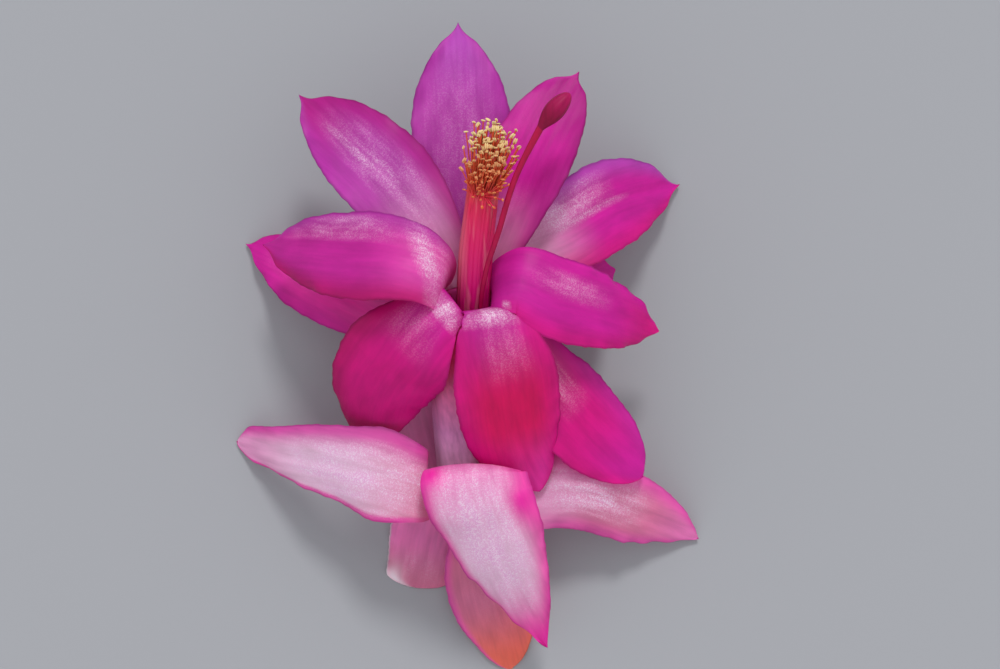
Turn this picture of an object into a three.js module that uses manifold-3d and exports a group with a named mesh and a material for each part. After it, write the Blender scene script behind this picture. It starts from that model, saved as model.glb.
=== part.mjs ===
// One picked bloom of a thanksgiving cactus, lying on its back with its mouth tilted up.
// Millimetres, +Z up, +Y the way the stamens point. The origin is on the surface that the bloom lies on,
// under the middle of its box.
import * as THREE from "three";
import { mergeVertices } from "three/addons/utils/BufferGeometryUtils.js";
import Module from "manifold-3d";

const wasm = await Module();
wasm.setup();

// Driving dimensions
const BLADE = 0.64; // thickness of a tepal
const GAP = 0.3; // clearance between pieces that touch
const RIM_INNER = 3.1; // radius of the tube's mouth
const RIM_OUTER = 4.7; // radius of the fleshy rim around it
const TUBE_SWELL = 4.3; // radius of the tube along most of its length
const TUBE_WALL = 0.9;
const TUBE_FLOOR = 0.07; // height of the floor inside the tube, as a share of its length
const TUBE_FOOT = vec(1.3, -19.3, 8.5);
const TUBE_BEND = vec(-0.1, -6.7, 12.6);
const TUBE_MOUTH = vec(-0.1, 6.3, 20);
const OVARY_END = vec(3.2, -26.6, 5.6);
const FRONT = vec(0, 0, 1); // the side that faces up as the bloom lies

const FILAMENTS = 34;
const FILAMENT_RADIUS = 0.32;
const ANTHER_LENGTH = 1.2;
const ANTHER_RADIUS = 0.42;
const COLUMN_RADIUS = 1.95; // the filaments run side by side in one thick column, and part near its end
const COLUMN_PATH = [
  vec(0.6, -12.6, 10.4), vec(0.2, -3.2, 13.8), vec(0.6, 6.1, 19.6), vec(1.1, 12, 23), vec(2, 18.6, 25.8),
];
const STYLE_RADIUS = 0.36;
const STYLE_PATH = [
  vec(2.2, -12.6, 11.6), vec(1.8, -3, 16.4), vec(1.7, 5.2, 21.8), vec(2.4, 9.6, 24.4),
  vec(3.7, 13.6, 26.2), vec(5.8, 20.2, 28), vec(9.2, 26.9, 28.8),
];
const STIGMA_TIP = vec(11.9, 29.5, 29.2);
const STIGMA_RADIUS = 1.25;

const tubeLine = new THREE.QuadraticBezierCurve3(TUBE_FOOT, TUBE_BEND, TUBE_MOUTH);

// Outer radius of the floral tube at a share of its length
function tubeRadius(along) {
  const foot = TUBE_SWELL - 0.3 * (1 - THREE.MathUtils.smoothstep(along, 0, 0.3));
  return THREE.MathUtils.lerp(foot, RIM_OUTER, THREE.MathUtils.smoothstep(along, 0.45, 1));
}

// Where each whorl of tepals is rooted: the share of the tube's length, and the distance from its axis
const RINGS = {
  rimInner: { along: 1, radius: RIM_INNER + 0.4, lift: GAP },
  rimOuter: { along: 1, radius: RIM_OUTER - 0.24, lift: GAP },
  shoulder: { along: 0.84, radius: tubeRadius(0.84) + GAP + BLADE / 2, lift: 0 },
  foot: { along: 0.1, radius: tubeRadius(0.1) + GAP + BLADE / 2, lift: 0 },
};

const UP = vec(0, 0, 1);
const DOWN = vec(0, 0, -1);

// Each tepal: the ring it is rooted in, its azimuth round the tube from the front (positive to the right),
// how much it leans out as it leaves the tube, the points that its midrib passes from its fold to its tip,
// its width, how slowly it opens from its claw, where it is widest, the power of its taper to the tip
// (small is blunt), the way its inner face looks near the tip, and how far its edges roll towards that face
const TEPALS = [
  { name: "upper_tepal_back", ring: "rimOuter", azimuth: 180, lean: 0,
    by: [vec(-0.4, 13.4, 16.9), vec(-0.6, 26.3, 16.6), vec(-1, 39.3, 15)],
    width: 11.8, opens: 1.5, widest: 0.6, taper: 0.95, facing: UP, roll: 14 },
  { name: "upper_tepal_back_right", ring: "rimInner", azimuth: 148, lean: 12,
    by: [vec(3.5, 13.3, 19.4), vec(6.1, 19.5, 20.6), vec(9, 25.8, 20.2), vec(13.3, 33.2, 17.5)],
    width: 9.9, opens: 1.5, widest: 0.6, taper: 0.8, facing: vec(-0.2, 0, 1), roll: 14 },
  { name: "upper_tepal_back_left", ring: "rimInner", azimuth: -148, lean: 8,
    by: [vec(-3.9, 13.6, 20.3), vec(-8.2, 19.5, 19.7), vec(-13.4, 24.8, 17.1), vec(-20, 30.9, 12.8)],
    width: 11.2, opens: 1.8, widest: 0.52, taper: 0.85, facing: vec(0.1, 0.1, 1), roll: 12 },
  { name: "upper_tepal_side_right", ring: "rimOuter", azimuth: 137, lean: 18,
    by: [vec(6.9, 12.3, 16.6), vec(11.3, 14.4, 15.4), vec(17, 17.9, 11.3), vec(26.1, 21, 0.3)],
    width: 11.2, opens: 1.5, widest: 0.48, taper: 0.85, facing: vec(0.3, 0, 1), roll: 12 },
  { name: "upper_tepal_right", ring: "rimInner", azimuth: 92, lean: 45,
    by: [vec(5.9, 8.5, 23.3), vec(10.7, 6.6, 23.2), vec(16.7, 4.9, 18.6), vec(23, 2.8, 10)],
    width: 9.8, opens: 1.3, widest: 0.4, taper: 0.7, facing: vec(0.2, 0.1, 1), roll: -16 },
  { name: "upper_tepal_left", ring: "rimInner", azimuth: -98, lean: 40,
    by: [vec(-3.8, 9.6, 25.4), vec(-8, 11.2, 25.8), vec(-15.2, 11.8, 21.4), vec(-24.3, 13.1, 11)],
    width: 10.6, opens: 1.5, widest: 0.5, taper: 0.75, facing: vec(-0.1, 0.1, 1), roll: -16 },
  { name: "upper_tepal_front_left", ring: "rimInner", azimuth: -40, lean: 60,
    by: [vec(-2.9, 4.3, 25), vec(-6.8, 1, 22.8), vec(-10.5, -4.2, 17), vec(-12.6, -10.8, 8.8)],
    width: 12.8, opens: 1.25, widest: 0.46, taper: 0.62, facing: vec(-0.2, -0.2, 1), roll: -24 },
  { name: "upper_tepal_front_right", ring: "rimInner", azimuth: 30, lean: 60,
    by: [vec(2.5, 3.6, 25.2), vec(4.5, -3.5, 22.8), vec(5.7, -10.6, 17.6), vec(8.2, -16.2, 12.5)],
    width: 12.2, opens: 1.25, widest: 0.48, taper: 0.6, facing: vec(0.1, -0.2, 1), roll: -24 },
  { name: "middle_tepal_left", ring: "shoulder", azimuth: -112, lean: 25,
    by: [vec(-9.8, 5, 13), vec(-18.1, 9, 8.6), vec(-27.6, 13.6, 0.3)],
    width: 9.6, opens: 1.5, widest: 0.5, taper: 0.85, facing: vec(-0.3, 0, 1), roll: 12 },
  { name: "middle_tepal_front_left", ring: "shoulder", azimuth: -72, lean: 80,
    by: [vec(-8.4, -1.5, 15), vec(-7, -7.5, 9), vec(-5, -15.4, 6.8)],
    width: 8, opens: 1.5, widest: 0.6, taper: 0.45, facing: UP, roll: -8 },
  { name: "middle_tepal_right", ring: "shoulder", azimuth: 110, lean: 30,
    by: [vec(9.4, 5.2, 13.2), vec(13.7, 7.7, 10.5), vec(18, 10.2, 6)],
    width: 8.6, opens: 1.5, widest: 0.55, taper: 0.6, facing: vec(0.3, 0, 1), roll: 10 },
  { name: "middle_tepal_front_right", ring: "shoulder", azimuth: 55, lean: 30,
    by: [vec(6.6, 1.9, 18.6), vec(10.5, -3, 16.4), vec(15.3, -8.3, 13), vec(21.6, -14, 9.8)],
    width: 10.3, opens: 1.5, widest: 0.6, taper: 0.62, facing: vec(0.4, -0.1, 1), roll: -12 },
  { name: "lower_tepal_left", ring: "foot", azimuth: -80, lean: 45,
    by: [vec(-5.8, -15.5, 14.9), vec(-15.6, -13.7, 12.1), vec(-22.3, -12.4, 7), vec(-28.6, -10.9, 0.3)],
    width: 10.2, opens: 1.5, widest: 0.33, taper: 0.6, end: 2.4, facing: vec(0, -0.2, 1), roll: -16 },
  { name: "lower_tepal_front", ring: "foot", azimuth: 0, lean: 20,
    by: [vec(1, -13.1, 18), vec(1.2, -17.4, 18.6), vec(4, -24.6, 14.6), vec(9.8, -36, 5.2)],
    width: 13.6, opens: 1.8, widest: 0.3, taper: 0.92, facing: vec(-0.1, -0.3, 1), roll: -26 },
  { name: "lower_tepal_right", ring: "foot", azimuth: 80, lean: 45,
    by: [vec(7.3, -15.8, 11), vec(14.2, -16.4, 10.2), vec(21.1, -19, 6.4), vec(28.6, -22.9, 0.3)],
    width: 9.8, opens: 1.5, widest: 0.38, taper: 0.65, facing: vec(0, -0.2, 1), roll: -14 },
  { name: "lower_tepal_back_left", ring: "foot", azimuth: -120, lean: 100,
    by: [vec(-4.8, -19.4, 2.1), vec(-5.8, -24.2, 0.6), vec(-8.6, -29.6, 0.3)],
    width: 7.8, opens: 1.5, widest: 0.6, taper: 0.5, end: 1.4, facing: DOWN, roll: 4 },
  { name: "lower_tepal_back", ring: "foot", azimuth: 180, lean: 120,
    by: [vec(2, -22.5, 3.3), vec(2.6, -28.8, 2.6), vec(4.2, -34.5, 1.4), vec(5.4, -39.4, 0.3)],
    width: 10.6, opens: 2, widest: 0.55, taper: 0.62, facing: DOWN, roll: 6 },
];

const MATERIALS = {
  upper: petalMaterial(0xc01f9a),
  lower: petalMaterial(0xe58ccb),
  tube: petalMaterial(0xe9c3dc),
  ovary: petalMaterial(0x9aa84e),
  stamens: petalMaterial(0xe6746f),
  pistil: petalMaterial(0xa0083f),
};

function vec(x, y, z) {
  return new THREE.Vector3(x, y, z);
}

function petalMaterial(color) {
  return new THREE.MeshStandardMaterial({ color, roughness: 0.5, metalness: 0 });
}

// The tube's axis, and the directions out of it, at a share of its length
function tubeFrame(along) {
  const axis = tubeLine.getTangent(along);
  const front = FRONT.clone().addScaledVector(axis, -FRONT.dot(axis)).normalize();
  const right = new THREE.Vector3().crossVectors(axis, front);
  return { centre: tubeLine.getPoint(along), axis, front, right };
}

function outward(frame, azimuth) {
  const turn = THREE.MathUtils.degToRad(azimuth);
  return frame.front.clone().multiplyScalar(Math.cos(turn)).addScaledVector(frame.right, Math.sin(turn));
}

const LAUNCH = 1.6; // length of a tepal over which it follows its lean
const CLAW = 2.9; // width of a tepal where it leaves its ring
const MUCRO = 0.6; // width of the tiny point at its tip
const WAVE = 0.3; // height of the waves along its edges
const ROLLED_BY = 0.25; // share of its length by which it has turned and rolled as it does at its tip

// The midrib leaves its ring and passes its points in turn, the last of them the tip
function tepalFrame(tepal) {
  const ring = RINGS[tepal.ring];
  const frame = tubeFrame(ring.along);
  const out = outward(frame, tepal.azimuth);
  const lean = THREE.MathUtils.degToRad(tepal.lean);
  const root = frame.centre.clone().addScaledVector(out, ring.radius).addScaledVector(frame.axis, ring.lift);
  const leaving = frame.axis.clone().multiplyScalar(Math.cos(lean)).addScaledVector(out, Math.sin(lean));
  const first = root.clone().addScaledVector(leaving, LAUNCH);
  const midrib = new THREE.CatmullRomCurve3([root, first, ...tepal.by], false, "centripetal");
  const rootSide = outward(frame, tepal.azimuth + 90);
  const tipSide = new THREE.Vector3().crossVectors(tepal.facing, midrib.getTangentAt(1)).normalize();
  return { midrib, rootSide, tipSide, hugRadius: ring.radius / Math.cos(lean) };
}

// Half the width of a tepal at a share of its length: a claw that opens into a blade, and a taper to the tip
function halfWidth(tepal, along) {
  const opened = Math.sin((Math.PI / 2) * Math.min(1, along / tepal.widest));
  const past = Math.max(0, along - tepal.widest) / (1 - tepal.widest);
  const blade = THREE.MathUtils.lerp(CLAW, tepal.width, Math.pow(opened, tepal.opens));
  return Math.max(tepal.end ?? MUCRO, blade * Math.pow(1 - past * past, tepal.taper)) / 2;
}

// The middle surface of a tepal: across runs from -1 to 1 between its edges, along from 0 to 1.
// Across it is an arc, curved like its ring at the root and by its own roll further out
function tepalPoint(tepal, shape, across, along) {
  const centre = shape.midrib.getPointAt(along);
  const tangent = shape.midrib.getTangentAt(along);
  const turned = THREE.MathUtils.smoothstep(along, 0, ROLLED_BY);
  const side = shape.rootSide.clone().lerp(shape.tipSide, turned);
  side.addScaledVector(tangent, -side.dot(tangent)).normalize();
  const face = new THREE.Vector3().crossVectors(tangent, side);
  const half = halfWidth(tepal, along);
  const bend = THREE.MathUtils.lerp(half / shape.hugRadius, THREE.MathUtils.degToRad(tepal.roll), turned);
  const angle = bend * across;
  const wave = WAVE * Math.sin(along * 17 + across * 1.7 + tepal.azimuth) * Math.pow(Math.abs(across), 3)
    * THREE.MathUtils.smoothstep(along, ROLLED_BY, 0.5);
  const point = centre.addScaledVector(side, (half / bend) * Math.sin(angle))
    .addScaledVector(face, (half / bend) * (1 - Math.cos(angle)) + wave);
  const normal = face.multiplyScalar(Math.cos(angle)).addScaledVector(side, -Math.sin(angle));
  return { point, normal };
}

const ACROSS = 6;
const STATIONS = [0, 0.05, 0.1, 0.16, 0.22, 0.29, 0.37, 0.45, 0.54, 0.63, 0.72, 0.81, 0.89, 0.95, 0.985, 1];
const SURFACE = vec(-Infinity, -Infinity, 0);

// A blade is two grids split alike, one on each face, closed by a strip round the rim.
// Where it meets the surface that the bloom lies on, it is pressed flat
function bladeGeometry(tepal) {
  const shape = tepalFrame(tepal);
  const faces = [[], []];
  for (const along of STATIONS) {
    for (let i = 0; i <= ACROSS; i++) {
      const { point, normal } = tepalPoint(tepal, shape, (2 * i) / ACROSS - 1, along);
      faces[0].push(point.clone().addScaledVector(normal, BLADE / 2).max(SURFACE));
      faces[1].push(point.addScaledVector(normal, -BLADE / 2).max(SURFACE));
    }
  }
  const row = ACROSS + 1;
  const last = STATIONS.length - 1;
  const under = faces[0].length;
  const index = [];
  const quad = (a, b, c, d) => index.push(a, b, c, a, c, d);
  for (let j = 0; j < last; j++) {
    const low = j * row;
    const high = low + row;
    for (let i = 0; i < ACROSS; i++) {
      index.push(low + i, high + i + 1, low + i + 1, low + i, high + i, high + i + 1);
      quad(under + low + i, under + low + i + 1, under + high + i + 1, under + high + i);
    }
    quad(low, under + low, under + high, high);
    quad(low + ACROSS, high + ACROSS, under + high + ACROSS, under + low + ACROSS);
  }
  for (let i = 0; i < ACROSS; i++) {
    quad(i, i + 1, under + i + 1, under + i);
    const end = last * row + i;
    quad(end, under + end, under + end + 1, end + 1);
  }
  const geometry = new THREE.BufferGeometry().setFromPoints(faces.flat());
  geometry.setIndex(index);
  return geometry;
}

// The directions across a line at a share of its length: up is the one nearest to the front
function across(line, along) {
  const axis = line.getTangent(along);
  const up = FRONT.clone().addScaledVector(axis, -FRONT.dot(axis)).normalize();
  return { axis, up, right: new THREE.Vector3().crossVectors(axis, up) };
}

// A turned profile bent along a line: each profile point is a radius and a share of the line's length
function turnedAlong(line, profile, sides, fluting = () => 1) {
  const geometry = new THREE.LatheGeometry(profile.map(([r, along]) => new THREE.Vector2(r, along)), sides);
  const position = geometry.getAttribute("position");
  for (let i = 0; i < position.count; i++) {
    const [x, along, z] = [position.getX(i), position.getY(i), position.getZ(i)];
    const { up, right } = across(line, along);
    const grow = fluting(Math.atan2(x, z));
    const point = line.getPoint(along).addScaledVector(up, z * grow).addScaledVector(right, x * grow);
    position.setXYZ(i, point.x, point.y, point.z);
  }
  return geometry;
}

function solid(geometry) {
  const bare = geometry.clone().deleteAttribute("normal").deleteAttribute("uv");
  const merged = mergeVertices(bare, 1e-4);
  const made = new wasm.Manifold(new wasm.Mesh({
    numProp: 3,
    vertProperties: new Float32Array(merged.attributes.position.array),
    triVerts: new Uint32Array(merged.index.array),
  }));
  return made;
}

function piece(name, made, material) {
  const { vertProperties, triVerts } = made.getMesh();
  const geometry = new THREE.BufferGeometry();
  geometry.setAttribute("position", new THREE.BufferAttribute(vertProperties, 3));
  geometry.setIndex(new THREE.BufferAttribute(triVerts, 1));
  geometry.computeVertexNormals();
  const mesh = new THREE.Mesh(geometry, material);
  mesh.name = name;
  return mesh;
}

function tepal(spec) {
  const material = spec.ring === "foot" ? MATERIALS.lower : MATERIALS.upper;
  return piece(spec.name, solid(bladeGeometry(spec)), material);
}

// The floral tube: an open cup with a floor, drawn as one closed profile from the axis and back to it
function floralTube() {
  const outside = [0, 0.12, 0.25, 0.4, 0.55, 0.7, 0.84, 0.94, 1].map((along) => [tubeRadius(along), along]);
  const inside = [1, 0.85, 0.6, 0.35, TUBE_FLOOR].map((along) => {
    const flare = THREE.MathUtils.smoothstep(along, 0.8, 1);
    return [THREE.MathUtils.lerp(tubeRadius(along) - TUBE_WALL, RIM_INNER, flare), along];
  });
  const profile = [[0, 0], ...outside, ...inside, [0, TUBE_FLOOR]];
  return piece("floral_tube", solid(turnedAlong(tubeLine, profile, 20)), MATERIALS.tube);
}

// The ovary under the tube, with the small scar where it was picked from the stem
function ovary() {
  const start = TUBE_FOOT.clone().addScaledVector(tubeLine.getTangent(0), -GAP);
  const bend = start.clone().addScaledVector(tubeLine.getTangent(0), -3);
  const line = new THREE.QuadraticBezierCurve3(start, bend, OVARY_END);
  const profile = [[0, 0], [3.1, 0], [3.35, 0.2], [3.3, 0.45], [2.9, 0.7], [2.2, 0.9], [1.5, 1], [0, 1]];
  return piece("ovary", solid(turnedAlong(line, profile, 20)), MATERIALS.ovary);
}

// Even, repeatable scatter: the share of a whole turn left over by each multiple of a step
function scatter(i, step) {
  return (i * step) % 1;
}

// One filament of the column that parts from it near its end, with its anther.
// Those at the back of the column reach further than those at its front
function filament(column, i) {
  const turn = 2 * Math.PI * scatter(i, 0.618034);
  const spread = Math.sqrt((i + 0.5) / FILAMENTS);
  const leaving = 0.66 + 0.2 * scatter(i, 0.7548777);
  const reach = 3.2 - 3.2 * Math.cos(turn) * spread + 1.4 * scatter(i, 0.5698403);
  const { axis, up, right } = across(column, leaving);
  const out = up.clone().multiplyScalar(Math.cos(turn)).addScaledVector(right, Math.sin(turn));
  const root = column.getPoint(leaving).addScaledVector(out, COLUMN_RADIUS * 0.75 * spread);
  const head = column.getPoint(1).addScaledVector(axis, reach).addScaledVector(out, 0.5 + 2.1 * spread);
  const bend = root.clone().lerp(head, 0.5).addScaledVector(out, 0.5 * spread);
  const thread = [0, 0.33, 0.66, 1].map((along) => [FILAMENT_RADIUS, along]);
  const line = new THREE.QuadraticBezierCurve3(root, bend, head);
  const stalk = solid(turnedAlong(line, [[0, 0], ...thread, [0, 1]], 4));
  const tipped = out.clone().multiplyScalar(scatter(i, 0.3819) - 0.3).add(axis).normalize();
  const low = head.clone().addScaledVector(tipped, -0.25 * ANTHER_LENGTH);
  const high = head.clone().addScaledVector(tipped, 0.75 * ANTHER_LENGTH);
  const sac = [[0, 0], [ANTHER_RADIUS, 0.3], [ANTHER_RADIUS, 0.7], [0, 1]];
  return stalk.add(solid(turnedAlong(new THREE.LineCurve3(low, high), sac, 5)));
}

function stamens() {
  const column = new THREE.CatmullRomCurve3(COLUMN_PATH);
  const fluting = (angle) => 1 + 0.12 * Math.cos(7 * angle);
  const widths = [[0.6, 0], [0.75, 0.3], [1, 0.62], [0.9, 0.85], [0.45, 1]];
  const core = widths.map(([share, along]) => [share * COLUMN_RADIUS, along]);
  let bundle = solid(turnedAlong(column, [[0, 0], ...core, [0, 1]], 21, fluting));
  for (let i = 0; i < FILAMENTS; i++) {
    bundle = bundle.add(filament(column, i));
  }
  return piece("stamens", bundle, MATERIALS.stamens);
}

// The style runs beside the stamens out of the tube, and swells into the closed lobes of the stigma
function pistil() {
  const line = new THREE.CatmullRomCurve3(STYLE_PATH);
  const steps = [0, 0.1, 0.2, 0.3, 0.4, 0.5, 0.6, 0.7, 0.8, 0.9, 1];
  const style = [[0, 0], ...steps.map((along) => [STYLE_RADIUS, along]), [0, 1]];
  const neck = line.getPoint(0.98);
  const widths = [[0.34, 0.02], [0.5, 0.2], [0.8, 0.42], [1, 0.68], [0.84, 0.86], [0.4, 0.97]];
  const lobes = widths.map(([share, along]) => [share * STIGMA_RADIUS, along]);
  const lobed = (angle) => 1 + 0.07 * Math.cos(7 * angle);
  const stigma = solid(turnedAlong(new THREE.LineCurve3(neck, STIGMA_TIP), [[0, 0], ...lobes, [0, 1]], 21, lobed));
  return piece("pistil", solid(turnedAlong(line, style, 8)).add(stigma), MATERIALS.pistil);
}

const bloom = new THREE.Group();
bloom.add(floralTube(), ovary(), stamens(), pistil(), ...TEPALS.map(tepal));

export default bloom;
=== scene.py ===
# One picked bloom of a thanksgiving cactus on a pale floor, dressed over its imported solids.
# The frame's axes: +Z up, +Y the way the stamens point, the origin under the middle of the bloom.
# Shapes are worked out in millimetres and become metres as each mesh is made.
import math
from dataclasses import dataclass, field

import bmesh
import bpy
import numpy as np
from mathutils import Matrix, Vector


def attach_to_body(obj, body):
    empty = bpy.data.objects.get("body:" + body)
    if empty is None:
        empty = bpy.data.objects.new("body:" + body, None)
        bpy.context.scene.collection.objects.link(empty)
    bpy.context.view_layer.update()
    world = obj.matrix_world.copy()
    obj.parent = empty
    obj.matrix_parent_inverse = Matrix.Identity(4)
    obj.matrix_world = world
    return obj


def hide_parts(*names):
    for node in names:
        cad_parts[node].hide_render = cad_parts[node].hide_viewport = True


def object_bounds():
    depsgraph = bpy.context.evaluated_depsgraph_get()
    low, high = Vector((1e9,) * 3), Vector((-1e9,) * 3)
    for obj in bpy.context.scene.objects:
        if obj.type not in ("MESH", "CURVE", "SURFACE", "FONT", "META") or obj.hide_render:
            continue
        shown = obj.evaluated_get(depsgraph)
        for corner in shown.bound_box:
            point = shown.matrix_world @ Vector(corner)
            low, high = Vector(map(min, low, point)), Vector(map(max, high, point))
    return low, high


MM = 0.001
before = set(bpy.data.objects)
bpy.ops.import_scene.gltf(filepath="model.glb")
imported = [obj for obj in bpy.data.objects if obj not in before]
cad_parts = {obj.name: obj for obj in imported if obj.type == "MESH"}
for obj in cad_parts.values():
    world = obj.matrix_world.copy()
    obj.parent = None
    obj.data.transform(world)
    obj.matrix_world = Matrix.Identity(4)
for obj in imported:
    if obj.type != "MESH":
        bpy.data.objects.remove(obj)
CAD_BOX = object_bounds()
LOW, HIGH = (np.array(corner) / MM for corner in CAD_BOX)

# Driving sizes of the bloom, in millimetres
BLADE = 0.62  # a tepal at its thickest, down its middle
MARGIN = 0.16  # and at its edges
PRESSED = 0.14  # and at least, where it lies on the floor
CLAW = 3.3  # its width where it leaves the tube, unless its own row says so
MUCRO = 0.3  # the tiny point at its tip
LAUNCH = 1.6  # how far it follows its lean before its midrib makes for the points of its row
GAP = 0.3  # between the tube, the tepals that hug it and the ovary
RIM_INNER = 3.1  # radius of the tube's mouth
RIM_OUTER = 4.7  # and of the fleshy rim round it
INNER_STEP = 0.4  # from the mouth's edge out to the roots of the inner ring of tepals
OUTER_STEP = 0.24  # from the rim's edge in to the roots of the outer ring
TUBE_SWELL = 4.3  # radius of the tube along most of its length
TUBE_TAPER = 0.3  # how much less it is at its foot
FOOT_WIDENS = (0, 0.3)  # the stretches where it widens, as shares of its length
RIM_WIDENS = (0.45, 1)
TUBE_WALL = 0.9
COLUMN_RADIUS = 1.95  # the filaments run side by side in one thick column
STYLE_RADIUS = 0.27
STIGMA_TIP = (11.9, 29.5, 29.2)
STIGMA_RADIUS = 1.15
FRONT = np.array([0.0, 0.0, 1.0])
UP = (0, 0, 1)
DOWN = (0, 0, -1)

TUBE_PATH = [(1.3, -19.3, 8.5), (-0.1, -6.7, 12.6), (-0.1, 6.3, 20)]
OVARY_END = (3.2, -26.6, 5.6)
COLUMN_PATH = [(0.6, -12.6, 10.4), (0.3, -3.2, 13.8), (0.85, 6.1, 19.6), (1.2, 12, 23), (2, 18.6, 25.8)]
STYLE_PATH = [
    (2.2, -12.6, 11.6), (1.8, -3, 16.4), (1.7, 5.2, 21.8), (2.4, 9.6, 24.4),
    (3.7, 13.6, 26.2), (5.8, 20.2, 28), (9.2, 26.9, 28.8),
]

# The camera looks straight down from above the middle of the photograph
CAMERA_PLACE = (4.0, 2.3, 300.0)
FOCAL_PIXELS = 2400.0
PHOTO_WIDTH = 1000
SENSOR = 36.0

# Pigments of the tepals, and the colours of painted light on them
PIGMENTS = {
    "orchid": "c850c4",
    "violet": "c438b0",
    "magenta": "d428a6",
    "fuchsia": "dc1ea8",
    "cerise": "e4108f",
    "crimson": "e60c68",
    "wine": "c80a70",
    "plum": "be1a8e",
    "peony": "f436b4",
    "rose": "f45cc0",
    "candy": "f68acc",
    "pink": "f6b0dc",
    "blush": "f6d2e8",
    # painted sunlight, for a tepal's patch lit outside the shadow of the others
    "painted_sunlight": "fff0f8",
    "dusky": "e884ac",
    # painted glow of light that has passed through the tepals above
    "coral": "fa7c68",
}


def linear(code):
    """A colour written as sRGB hex, as the linear values that the shaders work in."""
    shown = [int(code[i:i + 2], 16) / 255 for i in (0, 2, 4)]
    return [c / 12.92 if c <= 0.04045 else ((c + 0.055) / 1.055) ** 2.4 for c in shown]


def pigment(name):
    return np.array(linear(PIGMENTS[name]))


def unit(vectors):
    return vectors / np.linalg.norm(vectors, axis=-1, keepdims=True)


def smoothstep(x, low, high):
    t = np.clip((x - low) / (high - low), 0, 1)
    return t * t * (3 - 2 * t)


def mix(a, b, share):
    return a + (b - a) * share


def bump(x, low, high):
    """A smooth hump between two values, a little slimmer than half a sine wave."""
    t = np.clip((x - low) / (high - low), 0, 1)
    return np.sin(np.pi * t) ** 1.2


def catmull_rom(points, shares):
    """Points of a centripetal Catmull-Rom curve, at shares of its parameter from 0 to 1."""
    knots = np.array(points, float)
    knots = np.vstack([2 * knots[0] - knots[1], knots, 2 * knots[-1] - knots[-2]])
    spans = len(knots) - 3
    place = shares * spans
    start = np.minimum(place.astype(int), spans - 1)
    weight = (place - start)[:, None]
    p0, p1, p2, p3 = (knots[start + k] for k in range(4))
    d0, d1, d2 = (
        np.linalg.norm(b - a, axis=1, keepdims=True) ** 0.5 for a, b in ((p0, p1), (p1, p2), (p2, p3))
    )
    leave = ((p1 - p0) / d0 - (p2 - p0) / (d0 + d1) + (p2 - p1) / d1) * d1
    arrive = ((p2 - p1) / d1 - (p3 - p1) / (d1 + d2) + (p3 - p2) / d2) * d1
    square = 3 * (p2 - p1) - 2 * leave - arrive
    cube = 2 * (p1 - p2) + leave + arrive
    return p1 + weight * (leave + weight * (square + weight * cube))


def bezier(points, shares):
    """Points of a quadratic Bezier curve, at shares of its parameter."""
    a, b, c = (np.array(p, float) for p in points)
    t = shares[:, None]
    return (1 - t) ** 2 * a + 2 * t * (1 - t) * b + t ** 2 * c


class Line:
    """A smooth line held as close samples, read by shares of its parameter or of its length."""

    SAMPLES = 801

    def __init__(self, shape, points):
        self.shares = np.linspace(0, 1, self.SAMPLES)
        self.points = shape(points, self.shares)
        self.tangents = unit(np.gradient(self.points, axis=0))
        steps = np.linalg.norm(np.diff(self.points, axis=0), axis=1)
        self.lengths = np.concatenate([[0], np.cumsum(steps)])
        self.length = self.lengths[-1]

    def _read(self, wanted, known):
        point, tangent = (
            np.stack([np.interp(wanted, known, values[:, k]) for k in range(3)], axis=-1)
            for values in (self.points, self.tangents)
        )
        return point, unit(tangent)

    def at(self, shares):
        """Points and tangents at shares of the line's parameter."""
        return self._read(np.asarray(shares, float), self.shares)

    def along(self, shares):
        """Points and tangents at shares of the line's length."""
        return self._read(np.asarray(shares, float), self.lengths / self.length)


def across_line(tangents):
    """The two directions across a line: up is the one nearest to the front, right completes them."""
    up = unit(FRONT - (tangents @ FRONT)[..., None] * tangents)
    return up, np.cross(tangents, up)


TUBE = Line(bezier, TUBE_PATH)
COLUMN = Line(catmull_rom, COLUMN_PATH)
STYLE = Line(catmull_rom, STYLE_PATH)


def tube_radius(along):
    """Outer radius of the floral tube at a share of its length: it widens from its foot and at its rim."""
    swollen = TUBE_SWELL - TUBE_TAPER * (1 - smoothstep(along, *FOOT_WIDENS))
    return mix(swollen, RIM_OUTER, smoothstep(along, *RIM_WIDENS))


def hugging(along):
    """A ring of tepals round the tube's outside, just clear of it."""
    return {"along": along, "radius": tube_radius(along) + GAP + BLADE / 2}


# Where each whorl of tepals is rooted: the share of the tube's length, and the distance from its axis
RINGS = {
    "rim_inner": {"along": 1, "radius": RIM_INNER + INNER_STEP},
    "rim_outer": {"along": 1, "radius": RIM_OUTER - OUTER_STEP},
    "shoulder": hugging(0.84),
    "foot": hugging(0.1),
}


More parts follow.
